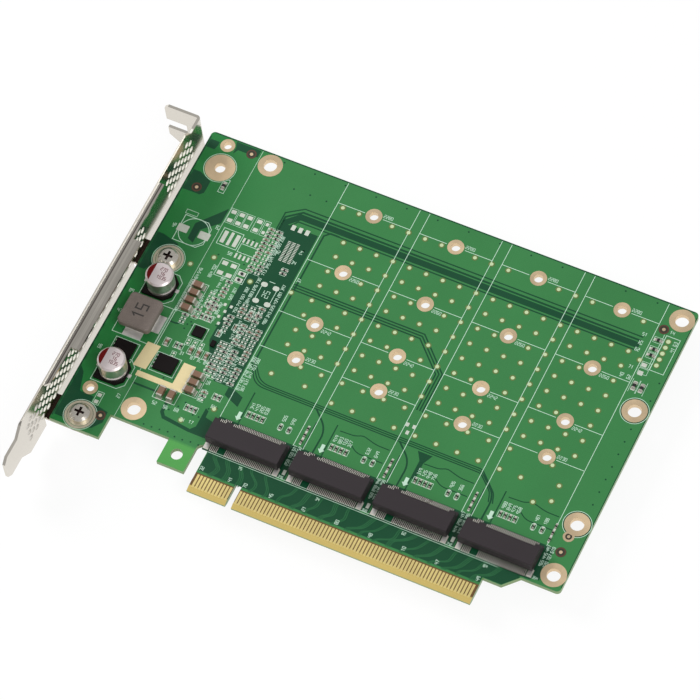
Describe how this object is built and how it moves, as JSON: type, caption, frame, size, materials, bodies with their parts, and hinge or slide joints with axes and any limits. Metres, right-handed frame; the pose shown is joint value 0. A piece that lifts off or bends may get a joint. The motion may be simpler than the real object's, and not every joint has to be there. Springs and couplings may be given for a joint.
{
  "type": "nvme adapter card",
  "caption": "Full-height expansion card whose long edge connector feeds a row of drive sockets, with a vented I/O bracket.",
  "frame": {"origin": "middle of the edge connector's key notch, on the connector's lower edge and half way through the board", "axes": "+X from the I/O bracket to the far end of the card, +Y from the edge connector to the top edge, +Z out of the component side"},
  "size_m": [0.1633, 0.1228, 0.0216],
  "materials": {
    "screw_metal": "nickel-plated",
    "base_plastic": "moulded",
    "can_metal": "satin drawn can",
    "contact_metal": "tin-plated",
    "ceramic_body": "fired ceramic with tinned ends",
    "solder_mask": "semi-gloss green lacquer over laminate",
    "package_resin": "moulded epoxy",
    "gold_plating": "bright gold plating",
    "powder_core": "pressed iron powder",
    "bracket_sheet": "nickel-plated folded sheet",
    "socket_plastic": "moulded glass-filled nylon",
    "chip_part": "printed chip with tinned ends"
  },
  "bodies": {
    "root": {"bracket_screw_lower": "screw_metal", "bracket_screw_middle": "screw_metal", "capacitor_base_1": "base_plastic", "capacitor_base_2": "base_plastic", "capacitor_can_1": "can_metal", "capacitor_can_2": "can_metal", "capacitor_leads_1": "contact_metal", "capacitor_leads_2": "contact_metal", "ceramic_capacitor_01": "ceramic_body", "ceramic_capacitor_02": "ceramic_body", "ceramic_capacitor_03": "ceramic_body", "ceramic_capacitor_04": "ceramic_body", "ceramic_capacitor_05": "ceramic_body", "ceramic_capacitor_06": "ceramic_body", "ceramic_capacitor_07": "ceramic_body", "ceramic_capacitor_08": "ceramic_body", "ceramic_capacitor_09": "ceramic_body", "circuit_board": "solder_mask", "driver_chip": "package_resin", "edge_contacts_component_side": "gold_plating", "edge_contacts_solder_side": "gold_plating", "inductor_core": "powder_core", "inductor_terminals": "contact_metal", "io_bracket": "bracket_sheet", "m2_anchors_1": "contact_metal", "m2_anchors_2": "contact_metal", "m2_anchors_3": "contact_metal", "m2_anchors_4": "contact_metal", "m2_contacts_1": "contact_metal", "m2_contacts_2": "contact_metal", "m2_contacts_3": "contact_metal", "m2_contacts_4": "contact_metal", "m2_socket_1": "socket_plastic", "m2_socket_2": "socket_plastic", "m2_socket_3": "socket_plastic", "m2_socket_4": "socket_plastic", "power_capacitors": "ceramic_body", "power_resistors": "chip_part", "power_transistor_1": "package_resin", "power_transistor_2": "package_resin", "power_transistor_leads_1": "contact_metal", "power_transistor_leads_2": "contact_metal", "sensor_chip": "package_resin", "socket_capacitors_1": "ceramic_body", "socket_capacitors_2": "ceramic_body", "socket_capacitors_3": "ceramic_body", "socket_capacitors_4": "ceramic_body", "socket_resistors_1": "chip_part", "socket_resistors_2": "chip_part", "socket_resistors_3": "chip_part", "socket_resistors_4": "chip_part"}
  },
  "joints": []
}
